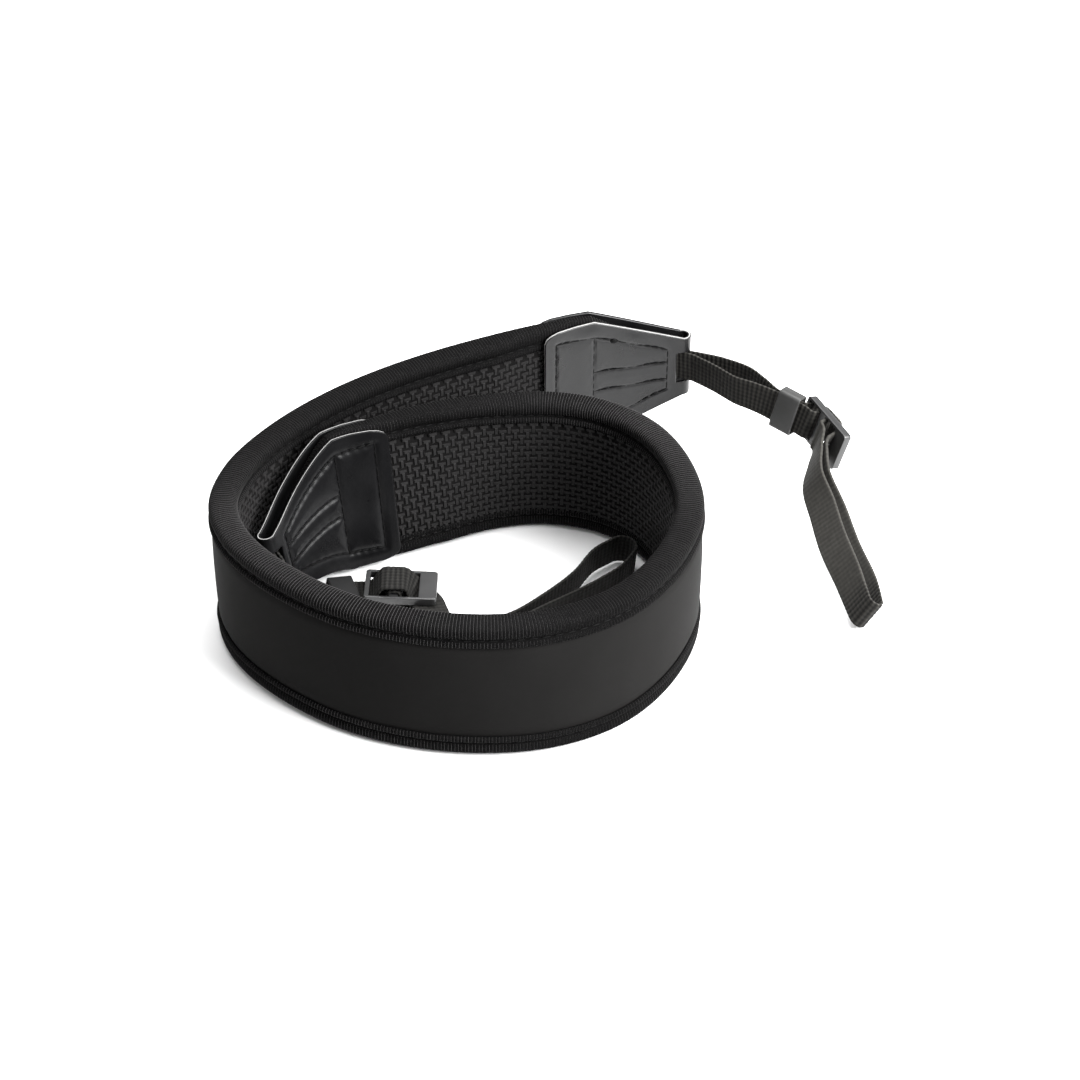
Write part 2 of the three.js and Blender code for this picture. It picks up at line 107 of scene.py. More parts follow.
# tab: rows give the place from the fold and the height there
tab = {
    "length": 44.0, "apex": 28.0, "wall": 1.0, "gap": 0.7,
    "rows": [
        (0, 20), (7, 25.5), (14, 31), (21, 36.5), (28, 42), (34, 42), (39.5, 41.4), (41.8, 40.2),
        (43.3, 38.4), (44, 35.4),
    ],
    "slitHalf": 5.3, "slitRun": 2.6, "slitTurn": 1.3,
    # rows of the mesh: at the free end, over the sewn part, round the fold and over the height
    "freeEnd": (37.0, 18), "sewnPart": (36.6, 84), "foldSteps": 11, "acrossSteps": 97,
    # where the relief fades: from the fold, to the free end and to the cut edge
    "fadeFold": (2.0, 6.0), "fadeEnd": (39.0, 43.0), "fadeEdge": (0.5, 4.0),
    "puffReach": 2.4, "puckerWave": (2.3, 1.1), "puckerReach": 1.5, "warpWave": (0.45, 0.6),
    # how deep and wide the sewn lines are, how full the channels, how puckered and warped the sheet,
    # where the pale core lies in the thickness and which cut edges show it
    "right": {"pinch": 0.3, "reach": 0.5, "puff": 0.22, "pucker": 0.03, "warp": 0.2,
              "core": (0.35, 0.72), "pale": ("inner", "fold")},
    "left": {"pinch": 0.4, "reach": 0.8, "puff": 0.4, "pucker": 0.05, "warp": 0.0,
             "core": (0.43, 0.66), "pale": ("inner", "fold", "outer")},
}

halfWidth = pad["width"] / 2
coil = makeLine([(x, y, halfWidth) for x, y in pad["rows"]], pad["lineSteps"])
coilLength = coil["length"]
print("coil length", round(coilLength, 1), "mm")


def endValue(column, along):
    rows = np.array(pad["endRows"], float)
    return np.interp(np.minimum(along, coilLength - along), rows[:, 0], rows[:, column])


def strapAxes(along):
    along = np.atleast_1d(np.asarray(along, float))
    held = np.clip(along, 0, coilLength)
    spot, ahead = followLine(coil, np.interp(held, coil["run"], coil["t"]))
    leaning = smoothStep(along, coilLength - pad["leanRun"], coilLength - tab["length"])
    lean = np.radians(pad["lean"]) * leaning
    droop = pad["droop"] * smoothStep(along, coilLength - tab["apex"], coilLength)
    inwards = np.stack([-ahead[:, 1], ahead[:, 0], np.zeros(len(along))], 1)
    cosine, sine = np.cos(lean)[:, None], np.sin(lean)[:, None]
    across = inwards * cosine + upright * sine
    tall = upright * cosine - inwards * sine
    origin = spot + ahead * (along - held)[:, None] - tall * droop[:, None]
    return origin, ahead, across, tall


# spots on the strap, one row for each place along it
def strapSpots(along, depth, height):
    origin, ahead, across, tall = strapAxes(along)
    depth = np.broadcast_to(depth, (len(origin), np.shape(depth)[-1]))
    height = np.broadcast_to(height, depth.shape)
    rise = height - halfWidth
    return origin[:, None] + across[:, None] * depth[..., None] + tall[:, None] * rise[..., None]


def squeezed(along, depth, height):
    thin = (endValue(1, along) / pad["thickness"])[:, None]
    narrow = (endValue(2, along) / pad["width"])[:, None]
    return strapSpots(along, depth * thin, halfWidth + (height - halfWidth) * narrow)


# meshes
def addObject(name, mesh):
    piece = bpy.data.objects.new(name, mesh)
    bpy.context.scene.collection.objects.link(piece)
    return piece


def ringFaces(rings, size):
    faces = []
    for r in range(rings - 1):
        for i in range(size):
            j = (i + 1) % size
            faces.append((r * size + i, r * size + j, (r + 1) * size + j, (r + 1) * size + i))
    faces.append(tuple(range(size)))
    faces.append(tuple(range((rings - 1) * size, rings * size)))
    return faces


def makePiece(name, spots, faces, finishes, faceFinish=None, strand=None):
    mesh = bpy.data.meshes.new(name)
    flat = (np.reshape(spots, (-1, 3)) - coilShift) * mm
    mesh.from_pydata(flat.tolist(), [], faces)
    for finish in finishes:
        mesh.materials.append(finish)
    if faceFinish is not None:
        mesh.polygons.foreach_set("material_index", faceFinish)
    if strand is not None:
        layer = mesh.attributes.new("strand", "FLOAT_VECTOR", "POINT")
        layer.data.foreach_set("vector", np.asarray(strand, np.float32).ravel())
    shell = bmesh.new()
    shell.from_mesh(mesh)
    bmesh.ops.recalc_face_normals(shell, faces=shell.faces)
    shell.to_mesh(mesh)
    shell.free()
    mesh.polygons.foreach_set("use_smooth", [True] * len(mesh.polygons))
    mesh.update()
    return addObject(name, mesh)


# finishes
grainDetail = 2.0


def setInputs(node, values):
    for label, value in values.items():
        node.inputs[label].default_value = value


def newFinish(name, color, roughness):
    finish = bpy.data.materials.new(name)
    finish.use_nodes = True
    shader = finish.node_tree.nodes["Principled BSDF"]
    setInputs(shader, {"Base Color": (*color, 1), "Roughness": roughness})
    finish.diffuse_color = (*color, 1)
    return finish, finish.node_tree, shader


def objectNoise(tree, scale, detail=3.0):
    place = tree.nodes.new("ShaderNodeTexCoord")
    noise = tree.nodes.new("ShaderNodeTexNoise")
    setInputs(noise, {"Scale": scale, "Detail": detail})
    tree.links.new(place.outputs["Object"], noise.inputs["Vector"])
    return noise.outputs["Fac"]


def rampBetween(tree, factor, low, high, stops=(0.3, 0.7)):
    ramp = tree.nodes.new("ShaderNodeValToRGB")
    ramp.color_ramp.elements[0].position = stops[0]
    ramp.color_ramp.elements[1].position = stops[1]
    ramp.color_ramp.elements[0].color = (*low, 1)
    ramp.color_ramp.elements[1].color = (*high, 1)
    tree.links.new(factor, ramp.inputs["Fac"])
    return ramp.outputs["Color"]


def spanBetween(tree, factor, low, high):
    span = tree.nodes.new("ShaderNodeMapRange")
    setInputs(span, {"To Min": low, "To Max": high})
    tree.links.new(factor, span.inputs["Value"])
    return span.outputs["Result"]


def addBump(tree, shader, height, strength, distance):
    bump = tree.nodes.new("ShaderNodeBump")
    setInputs(bump, {"Strength": strength, "Distance": distance})
    tree.links.new(height, bump.inputs["Height"])
    before = shader.inputs["Normal"].links
    if before:
        tree.links.new(before[0].from_socket, bump.inputs["Normal"])
    tree.links.new(bump.outputs["Normal"], shader.inputs["Normal"])


def speckled(name, low, high, roughness, colorScale, grainScale, grain, sheen, specular):
    finish, tree, shader = newFinish(name, high, roughness[1])
    tone = objectNoise(tree, colorScale)
    tree.links.new(rampBetween(tree, tone, low, high), shader.inputs["Base Color"])
    tree.links.new(spanBetween(tree, tone, *roughness), shader.inputs["Roughness"])
    addBump(tree, shader, objectNoise(tree, grainScale, grainDetail), *grain)
    setInputs(shader, {"Sheen Weight": sheen, "Sheen Roughness": 0.4, "Specular IOR Level": specular})
    return finish, tree, shader


# dark tone, light tone, roughness, scale of the mottling, scale of the grain, strength and depth of the
# grain, sheen, specular
looks = {
    "neoprene": ((0.0112, 0.0109, 0.0107), (0.0134, 0.013, 0.0128), (0.55, 0.65), 60, 4200,
                 (0.12, 0.00012), 0.0, 0.015),
    "meshGround": ((0.0038, 0.0036, 0.0036), (0.0058, 0.0055, 0.0055), (0.85, 0.95), 300, 2600,
                   (0.3, 0.0002), 0.0, 0.05),
    "meshYarn": ((0.0074, 0.007, 0.0071), (0.0115, 0.0109, 0.011), (0.6, 0.75), 500, 3800,
                 (0.4, 0.00018), 0.02, 0.15),
    # the tape's ground is far darker than its ribs: painted shade between the ribs and in the groove
    "tapeShadedGround": ((0.0022, 0.0021, 0.0022), (0.0036, 0.0035, 0.0035), (0.85, 0.95), 400, 4000,
                   (0.3, 0.00015), 0.0, 0.05),
    "tapeRib": ((0.046, 0.0445, 0.045), (0.06, 0.058, 0.0588), (0.55, 0.7), 700, 5200,
                (0.12, 0.0001), 0.03, 0.12),
    "thread": ((0.0015, 0.0015, 0.0015), (0.003, 0.003, 0.003), (0.55, 0.7), 900, 5000,
               (0.3, 0.0001), 0.0, 0.1),
    "cutEdge": ((0.3, 0.295, 0.29), (0.4, 0.395, 0.39), (0.75, 0.9), 900, 3500, (0.4, 0.0002), 0.0, 0.5),
    "plastic": ((0.019, 0.019, 0.0193), (0.024, 0.024, 0.0243), (0.32, 0.4), 150, 3000,
                (0.04, 0.0001), 0.0, 0.6),
    # a darker copy of the keepers' plastic: painted shade for the left keeper, which lies inside the coil
    "plasticInShade": ((0.009, 0.009, 0.0091), (0.012, 0.012, 0.0121), (0.4, 0.5), 150, 3000,
                    (0.05, 0.0001), 0.0, 0.15),
    "plasticMatte": ((0.032, 0.032, 0.0315), (0.039, 0.039, 0.0385), (0.4, 0.5), 150, 3000,
                     (0.05, 0.0001), 0.0, 0.3),
}
finishOf = {name: speckled(name, *look)[0] for name, look in looks.items()}
# the leatherette of both ends, with its own specular for each: the left tab's is lower, a painted shade for
# the tab that lies in shadow inside the coil
leatherette = {
    "look": ((0.0038, 0.0038, 0.0041), (0.0058, 0.0058, 0.0062), (0.24, 0.34), 130, 5200,
             (0.05, 0.0001), 0.0),
    "pebble": 1500, "pebbleRim": (0.0, 0.25), "pebbleBump": (0.08, 0.0001),
    "specular": {"right": 0.32, "left": 0.1},
}
# the yarn of both ends, with its own dark and light tone for each: the left end's tones are about half the
# right's, a painted shade for the end that lies inside the coil; and the dark of the gaps, a painted shade
# of the weave's hollows
weave = {
    # gap: the painted shade colour of the weave's hollows
    "gap": (0.0012, 0.0011, 0.001, 1), "roughness": 0.72, "mottling": 700, "sheen": 0.03, "specular": 0.12,
    "layScale": 1.1, "layTwist": 1.2, "layBump": (0.25, 0.0001), "fuzz": 4500, "fuzzBump": (0.3, 0.00012),
    "right": ((0.034, 0.0325, 0.0293), (0.046, 0.044, 0.0397)),
    # left: a darker copy of the same yarn, painted shade
    "left": ((0.015, 0.0145, 0.0134), (0.022, 0.0212, 0.0196)),
}


def leatheretteFinish(name, end):
    finish, tree, shader = speckled(name, *leatherette["look"], leatherette["specular"][end])
    place = tree.nodes.new("ShaderNodeTexCoord")
    pebble = tree.nodes.new("ShaderNodeTexVoronoi")
    pebble.feature = "DISTANCE_TO_EDGE"
    pebble.inputs["Scale"].default_value = leatherette["pebble"]
    tree.links.new(place.outputs["Object"], pebble.inputs["Vector"])
    grain = rampBetween(tree, pebble.outputs["Distance"], (0, 0, 0), (1, 1, 1), leatherette["pebbleRim"])
    addBump(tree, shader, grain, *leatherette["pebbleBump"])
    return finish


# woven ends: the strand attribute holds place along, place across, and depth of the weave, which also
# darkens the hollows with a painted shade
def webbingFinish(name, end):
    low, high = weave[end]
    finish, tree, shader = newFinish(name, high, weave["roughness"])
    strand = tree.nodes.new("ShaderNodeAttribute")
    strand.attribute_name = "strand"
    parts = tree.nodes.new("ShaderNodeSeparateXYZ")
    tree.links.new(strand.outputs["Vector"], parts.inputs["Vector"])
    yarn = rampBetween(tree, objectNoise(tree, weave["mottling"]), low, high)
    mix = tree.nodes.new("ShaderNodeMix")
    mix.data_type = "RGBA"
    # the hollows of the weave are mixed towards the dark gap colour: painted shade
    mix.inputs[7].default_value = weave["gap"]
    tree.links.new(parts.outputs["Z"], mix.inputs["Factor"])
    tree.links.new(yarn, mix.inputs[6])
    tree.links.new(mix.outputs[2], shader.inputs["Base Color"])
    lay = tree.nodes.new("ShaderNodeTexWave")
    lay.bands_direction = "Y"
    setInputs(lay, {"Scale": weave["layScale"], "Distortion": weave["layTwist"]})
    tree.links.new(strand.outputs["Vector"], lay.inputs["Vector"])
    addBump(tree, shader, lay.outputs["Fac"], *weave["layBump"])
    addBump(tree, shader, objectNoise(tree, weave["fuzz"], grainDetail), *weave["fuzzBump"])
    setInputs(shader, {"Sheen Weight": weave["sheen"], "Specular IOR Level": weave["specular"]})
    return finish


# the left tab's copy reflects less: painted shade
tabFinish = {end: leatheretteFinish("leatherette" + end.title(), end) for end in ("right", "left")}
# the left end's webbing is a darker copy: painted shade
webFinish = {end: webbingFinish("webbing" + end.title(), end) for end in ("right", "left")}
print("finishes made")


# pad faces
panel = {
    "edge": 1.6, "underLip": 0.9, "face": 0.35, "crown": 0.12,
    "end": 1.4, "groove": 4.2, "lip": 6.6, "start": 8.2, "faceSteps": 17, "layerGap": 0.15,
    "slack": 0.01,
}
padAlong = np.linspace(pad["endInTab"], coilLength - pad["endInTab"], pad["steps"] + 1)


def faceDepth(height):
    share = (height - halfWidth) / (halfWidth - panel["start"])
    return panel["face"] - (panel["face"] - panel["crown"]) * np.clip(1 - share ** 2, 0, 1)


# low waves of the faces along the pad
def faceWave(along):
    waves = sum(share * np.sin(along / run + start) for share, run, start in pad["waves"])
    return 0.5 * pad["waviness"] * waves


def panelSection():
    heights = np.linspace(panel["start"], pad["width"] - panel["start"], panel["faceSteps"])
    edge = panel["edge"]
    half = [(edge, panel["end"]), (edge, panel["groove"]), (panel["underLip"], panel["lip"])]
    upper = [(depth, pad["width"] - height) for depth, height in reversed(half)]
    middle = pad["thickness"] / 2 - panel["layerGap"]
    back = [(middle, pad["width"] - panel["end"]), (middle, panel["end"])]
    return np.array(half + [(d, h) for d, h in zip(faceDepth(heights), heights)] + upper + back)


def makePanel(name, inner, finish):
    section = panelSection()
    depth = np.repeat(section[None, :, 0], len(padAlong), 0)
    onFace = (section[:, 0] < panel["face"] + panel["slack"]).astype(float)
    depth = depth - faceWave(padAlong)[:, None] * onFace
    if inner:
        depth = pad["thickness"] - depth
    spots = squeezed(padAlong, depth, section[None, :, 1])
    return makePiece(name, spots, ringFaces(len(padAlong), len(section)), [finish])


outerFace = makePanel("outerFace", False, finishOf["neoprene"])
innerFace = makePanel("innerFace", True, finishOf["meshGround"])
print("pad faces made")


# bound edges: outline of the folded tape, from lip to lip
binding = {
    "outline": [
        (0.5, 6.7), (0.05, 6.55), (-0.2, 5.9), (-0.05, 5.25), (0.85, 4.5), (0.4, 3.7), (0.1, 2.7),
        (0.16, 1.7), (0.75, 0.85), (2.0, 0.38), (3.9, 0.25),
    ],
    "inside": [(0.95, 6.6), (1.3, 4.2), (1.3, 1.1)],
    "lineSteps": 900, "samples": 17, "pitch": 0.9, "margin": 0.3, "ribWidth": 0.6, "ribHeight": 0.24,
    "ribProfile": [(-0.5, -0.3), (-0.27, 0.75), (0.0, 1.0), (0.27, 0.75), (0.5, -0.3)],
    "grooveHeight": 4.5, "grooveHalf": 0.4,
}


def bindingOutline():
    half = np.array(binding["outline"])
    other = np.stack([pad["thickness"] - half[::-1, 0], half[::-1, 1]], 1)[1:]
    points = np.column_stack([np.vstack([half, other]), np.zeros(2 * len(half) - 1)])
    line = makeLine(points, binding["lineSteps"])
    runs = np.linspace(0, line["length"], 2 * binding["samples"] + 1)
    return lineSpots(line["points"], np.interp(runs, line["run"], line["t"]))[:, :2]


def makeBinding(name, top):
    outline = bindingOutline()
    inside = np.array(binding["inside"])
    other = np.stack([pad["thickness"] - inside[:, 0], inside[:, 1]], 1)
    ring = np.vstack([outline, other, inside[::-1]])
    heights = pad["width"] - ring[:, 1] if top else ring[:, 1]
    spots = squeezed(padAlong, ring[None, :, 0], heights[None])
    # the tape's body takes the dark ground finish, a painted shade between the ribs and in the groove
    return makePiece(name, spots, ringFaces(len(padAlong), len(ring)), [finishOf["tapeShadedGround"]])


tapeTop = makeBinding("tapeTop", True)
tapeBottom = makeBinding("tapeBottom", False)
print("bound edges made")


# node trees that set a small shape on every point
def newTree(name, sizes):
    tree = bpy.data.node_groups.new(name, "GeometryNodeTree")
    tree.is_modifier = True
    tree.interface.new_socket(name="Points", in_out="INPUT", socket_type="NodeSocketGeometry")
    for label, kind in sizes:
        tree.interface.new_socket(name=label, in_out="INPUT", socket_type=kind)
    tree.interface.new_socket(name="Pieces", in_out="OUTPUT", socket_type="NodeSocketGeometry")
    return tree, tree.nodes.new("NodeGroupInput"), tree.nodes.new("NodeGroupOutput")


def pointVector(tree, label):
    node = tree.nodes.new("GeometryNodeInputNamedAttribute")
    node.data_type = "FLOAT_VECTOR"
    node.inputs["Name"].default_value = label
    return next(s for s in node.outputs if s.enabled and s.name == "Attribute")


def setOnPoints(tree, start, end, unit, finish, smooth):
    link = tree.links.new
    axes = tree.nodes.new("FunctionNodeAxesToRotation")
    axes.primary_axis = "X"
    axes.secondary_axis = "Z"
    link(pointVector(tree, "ahead"), axes.inputs["Primary Axis"])
    link(pointVector(tree, "outward"), axes.inputs["Secondary Axis"])
    place = tree.nodes.new("GeometryNodeInstanceOnPoints")
    link(start.outputs["Points"], place.inputs["Points"])
    link(unit, place.inputs["Instance"])
    link(axes.outputs["Rotation"], place.inputs["Rotation"])
    link(pointVector(tree, "sizing"), place.inputs["Scale"])
    real = tree.nodes.new("GeometryNodeRealizeInstances")
    shade = tree.nodes.new("GeometryNodeSetShadeSmooth")
    shade.inputs["Shade Smooth"].default_value = smooth
    coat = tree.nodes.new("GeometryNodeSetMaterial")
    coat.inputs["Material"].default_value = finish
    link(place.outputs["Instances"], real.inputs["Geometry"])
    link(real.outputs["Geometry"], shade.inputs["Geometry"])
    link(shade.outputs["Geometry"], coat.inputs["Geometry"])
    link(coat.outputs["Geometry"], end.inputs["Pieces"])


def growOnPoints(name, tree, values, spots, ahead, outward, sizing=None):
    spots = np.reshape(spots, (-1, 3))
    mesh = bpy.data.meshes.new(name + "Points")
    mesh.from_pydata(((spots - coilShift) * mm).tolist(), [], [])
    sizing = np.ones_like(spots) if sizing is None else sizing
    for label, rows in (("ahead", ahead), ("outward", outward), ("sizing", sizing)):
        layer = mesh.attributes.new(label, "FLOAT_VECTOR", "POINT")
        layer.data.foreach_set("vector", np.asarray(rows, np.float32).ravel())
    points = addObject(name + "Points", mesh)
    grow = points.modifiers.new("grow", "NODES")
    grow.node_group = tree
    for item in tree.interface.items_tree:
        if item.item_type == "SOCKET" and item.in_out == "INPUT" and item.name in values:
            grow[item.identifier] = values[item.name]
    graph = bpy.context.evaluated_depsgraph_get()
    grown = bpy.data.meshes.new_from_object(points.evaluated_get(graph), depsgraph=graph)
    grown.name = name
    bpy.data.objects.remove(points)
    return addObject(name, grown)


def scaleVector(tree, *sockets):
    join = tree.nodes.new("ShaderNodeCombineXYZ")
    for socket, label in zip(sockets, "XYZ"):
        tree.links.new(socket, join.inputs[label])
    return join.outputs["Vector"]


def stitchTree(name, finish):
    tree, start, end = newTree(name, [("Length", "NodeSocketFloat"), ("Thickness", "NodeSocketFloat")])
    ball = tree.nodes.new("GeometryNodeMeshUVSphere")
    setInputs(ball, {"Segments": 8, "Rings": 6, "Radius": 0.5})
    stretch = tree.nodes.new("GeometryNodeTransform")
    tree.links.new(ball.outputs["Mesh"], stretch.inputs["Geometry"])
    thick = start.outputs["Thickness"]
    tree.links.new(scaleVector(tree, start.outputs["Length"], thick, thick), stretch.inputs["Scale"])
    setOnPoints(tree, start, end, stretch.outputs["Geometry"], finish, True)
    return tree


def raisedPatch(tree, width, height, relief, taper):
    link = tree.links.new
    flat = tree.nodes.new("GeometryNodeMeshGrid")
    setInputs(flat, {"Vertices X": 2, "Vertices Y": 2})
    link(width, flat.inputs["Size X"])
    link(height, flat.inputs["Size Y"])
    lift = tree.nodes.new("GeometryNodeExtrudeMesh")
    link(flat.outputs["Mesh"], lift.inputs["Mesh"])
    link(relief, lift.inputs["Offset Scale"])
    shrink = tree.nodes.new("GeometryNodeScaleElements")
    link(lift.outputs["Mesh"], shrink.inputs["Geometry"])
    link(lift.outputs["Top"], shrink.inputs["Selection"])
    link(taper, shrink.inputs["Scale"])
    return shrink.outputs["Geometry"]


def cellTree(name, finish):
    sizes = ["Bar Width", "Bar Height", "Stem Width", "Stem Height", "Relief", "Taper", "Drop"]
    tree, start, end = newTree(name, [(label, "NodeSocketFloat") for label in sizes])
    value = start.outputs
    bar = raisedPatch(tree, value["Bar Width"], value["Bar Height"], value["Relief"], value["Taper"])
    stem = raisedPatch(tree, value["Stem Width"], value["Stem Height"], value["Relief"], value["Taper"])
    lower = tree.nodes.new("GeometryNodeTransform")
    tree.links.new(stem, lower.inputs["Geometry"])
    shift = tree.nodes.new("ShaderNodeCombineXYZ")
    tree.links.new(value["Drop"], shift.inputs["Y"])
    tree.links.new(shift.outputs["Vector"], lower.inputs["Translation"])
    both = tree.nodes.new("GeometryNodeJoinGeometry")
    tree.links.new(bar, both.inputs["Geometry"])
    tree.links.new(lower.outputs["Geometry"], both.inputs["Geometry"])
    setOnPoints(tree, start, end, both.outputs["Geometry"], finish, False)
    return tree


def ribTree(name, finish):
    tree, start, end = newTree(name, [("Rib", "NodeSocketObject")])
    fetch = tree.nodes.new("GeometryNodeObjectInfo")
    tree.links.new(start.outputs["Rib"], fetch.inputs["Object"])
    setOnPoints(tree, start, end, fetch.outputs["Geometry"], finish, True)
    return tree


# ribs of the tape: one hoop bent over the edge, set at every pitch
def makeRib(top):
    outline = bindingOutline()
    slope = np.gradient(outline, axis=0)
    normal = -unitRows(np.stack([slope[:, 1], -slope[:, 0]], 1))
    spots = []
    for (depth, height), (nx, ny) in zip(outline, normal):
        for share, lift in binding["ribProfile"]:
            out = lift * binding["ribHeight"]
            y = height + ny * out - halfWidth
            spots.append((share * binding["ribWidth"], depth + nx * out, -y if top else y))
    size = len(binding["ribProfile"])
    faces = []
    # rib faces are left out over the groove, so the dark ground shows there as a painted shade line
    heights = (outline[:-1, 1] + outline[1:, 1]) / 2
    grooved = np.abs(heights - binding["grooveHeight"]) < binding["grooveHalf"]
    for r in np.flatnonzero(~grooved).tolist():
        for i in range(size - 1):
            quad = (r * size + i, r * size + i + 1, (r + 1) * size + i + 1, (r + 1) * size + i)
            faces.append(quad if top else quad[::-1])
    mesh = bpy.data.meshes.new("rib")
    mesh.from_pydata((np.array(spots) * mm).tolist(), [], faces)
    return addObject("rib", mesh)


def makeRibs(name, top):
    count = int((padAlong[-1] - padAlong[0]) / binding["pitch"])
    along = np.linspace(padAlong[0] + binding["margin"], padAlong[-1] - binding["margin"], count)
    origin, ahead, across, tall = strapAxes(along)
    thin = endValue(1, along) / pad["thickness"]
    narrow = endValue(2, along) / pad["width"]
    sizing = np.stack([np.ones(count), thin, narrow], 1)
    rib = makeRib(top)
    tree = ribTree(name + "Tree", finishOf["tapeRib"])
    ribs = growOnPoints(name, tree, {"Rib": rib}, origin, ahead, tall, sizing)
    bpy.data.objects.remove(rib)
    return ribs


ribsTop = makeRibs("ribsTop", True)
ribsBottom = makeRibs("ribsBottom", False)
print("ribs made", len(ribsTop.data.polygons))


# raised cells of the lining, each a bar with a stem: their sizes are shares of the pitch and the rise
cells = {
    "pitch": 3.9, "rise": 1.94, "low": 7.5, "rows": 16, "relief": 0.3, "sunk": 0.1, "underTab": 1.5,
    "bar": (0.66, 0.5), "stem": (0.26, 1.3), "taper": 0.75, "drop": 0.85,
}


def makeCells():
    first = tab["length"] - cells["underTab"]
    last = coilLength - tab["length"] + cells["underTab"]
    places = []
    for row in range(cells["rows"]):
        offset = 0.5 * cells["pitch"] * (row % 2)
        along = np.arange(first + offset, last, cells["pitch"])
        height = np.full(len(along), cells["low"] + row * cells["rise"])
        places.append(np.stack([along, height], 1))
    along, height = np.vstack(places).T
    origin, ahead, across, tall = strapAxes(along)
    depth = pad["thickness"] - faceDepth(height) + faceWave(along) - cells["sunk"]
    depth = depth * endValue(1, along) / pad["thickness"]
    spots = origin + across * depth[:, None] + tall * (height - halfWidth)[:, None]
    values = {
        "Bar Width": cells["pitch"] * cells["bar"][0] * mm,
        "Bar Height": cells["rise"] * cells["bar"][1] * mm,
        "Stem Width": cells["pitch"] * cells["stem"][0] * mm,
        "Stem Height": cells["rise"] * cells["stem"][1] * mm,
        "Relief": cells["relief"] * mm,
        "Taper": cells["taper"],
        "Drop": -cells["rise"] * cells["drop"] * mm,
    }
    tree = cellTree("liningCellTree", finishOf["meshYarn"])
    return growOnPoints("liningCells", tree, values, spots, -ahead, across)


liningCells = makeCells()
print("lining cells made", len(liningCells.data.polygons))


# sewing along the bound edges
edgeSewing = {
    "pitch": 3.4, "length": 2.5, "thickness": 0.36, "depth": 0.72, "height": 4.5, "underTab": 6,
}


def makeEdgeSewing():
    first = tab["length"] - edgeSewing["underTab"]
    along = np.arange(first, coilLength - tab["length"] + edgeSewing["underTab"], edgeSewing["pitch"])
    origin, ahead, across, tall = strapAxes(along)
    thin = endValue(1, along) / pad["thickness"]
    spots, fronts, outs = [], [], []
    for height in (edgeSewing["height"], pad["width"] - edgeSewing["height"]):
        for side, depth in ((-1, edgeSewing["depth"]), (1, pad["thickness"] - edgeSewing["depth"])):
            spots.append(origin + across * (depth * thin)[:, None] + tall * (height - halfWidth))
            fronts.append(ahead)
            outs.append(across * side)
    values = {"Length": edgeSewing["length"] * mm, "Thickness": edgeSewing["thickness"] * mm}
    tree = stitchTree("edgeSewingTree", finishOf["thread"])
    return growOnPoints("edgeSewing", tree, values, np.vstack(spots), np.vstack(fronts), np.vstack(outs))


edgeThread = makeEdgeSewing()
print("edge sewing made")


# tabs: seams as places from the fold and from the middle line
tabSeams = [
    [(40.2, 16.6), (28, 15.8), (5.0, 7.0)],
    [(40.2, -16.6), (28, -15.8), (5.0, -7.0)],
    [(40.2, 16.6), (40.2, -16.6)],
    [(28, 15.8), (28, -15.8)],
    [(28, 3.4), (5.0, 2.6)],
    [(28, -3.4), (5.0, -3.4)],
    [(5.0, 7.0), (5.0, -7.0)],
]
tabSewing = {
    "pitch": 2.6, "length": 2.9, "thickness": 0.4, "proud": 0.06,
    "knot": (21.7, 13.3), "knotSize": (0.8, 4.5, 1.8),
}


def seamDistance(away, rise):
    nearest = np.full(np.broadcast(away, rise).shape, 1e9)
    for seam in tabSeams:
        for (ax, ay), (bx, by) in zip(seam, seam[1:]):
            dx, dy = bx - ax, by - ay
            share = np.clip(((away - ax) * dx + (rise - ay) * dy) / (dx * dx + dy * dy), 0, 1)
            nearest = np.minimum(nearest, np.hypot(away - ax - share * dx, rise - ay - share * dy))
    return nearest


# how far the stitched sheet stands out: sewn lines are pinched, channels are puffed
def sheetRelief(away, rise, form):
    gap = seamDistance(away, rise)
    inside = smoothStep(away, *tab["fadeFold"]) * (1 - smoothStep(away, *tab["fadeEnd"]))
    edge = np.interp(away, *np.array(tab["rows"], float).T) / 2 - np.abs(rise)
    inside = inside * smoothStep(edge, *tab["fadeEdge"])
    lengthwise, upwards = tab["puckerWave"]
    crease = form["pucker"] * np.sin(away * lengthwise + rise * upwards) * np.exp(-gap / tab["puckerReach"])
    puff = form["puff"] * (1 - np.exp(-(gap / tab["puffReach"]) ** 2)) + crease
    rate, start = tab["warpWave"]
    warp = form["warp"] * np.sin(away * rate + start)
    return inside * (puff + warp) - form["pinch"] * np.exp(-(gap / form["reach"]) ** 2)


def tabAlong(end, away):
    return away if end == "right" else coilLength - away


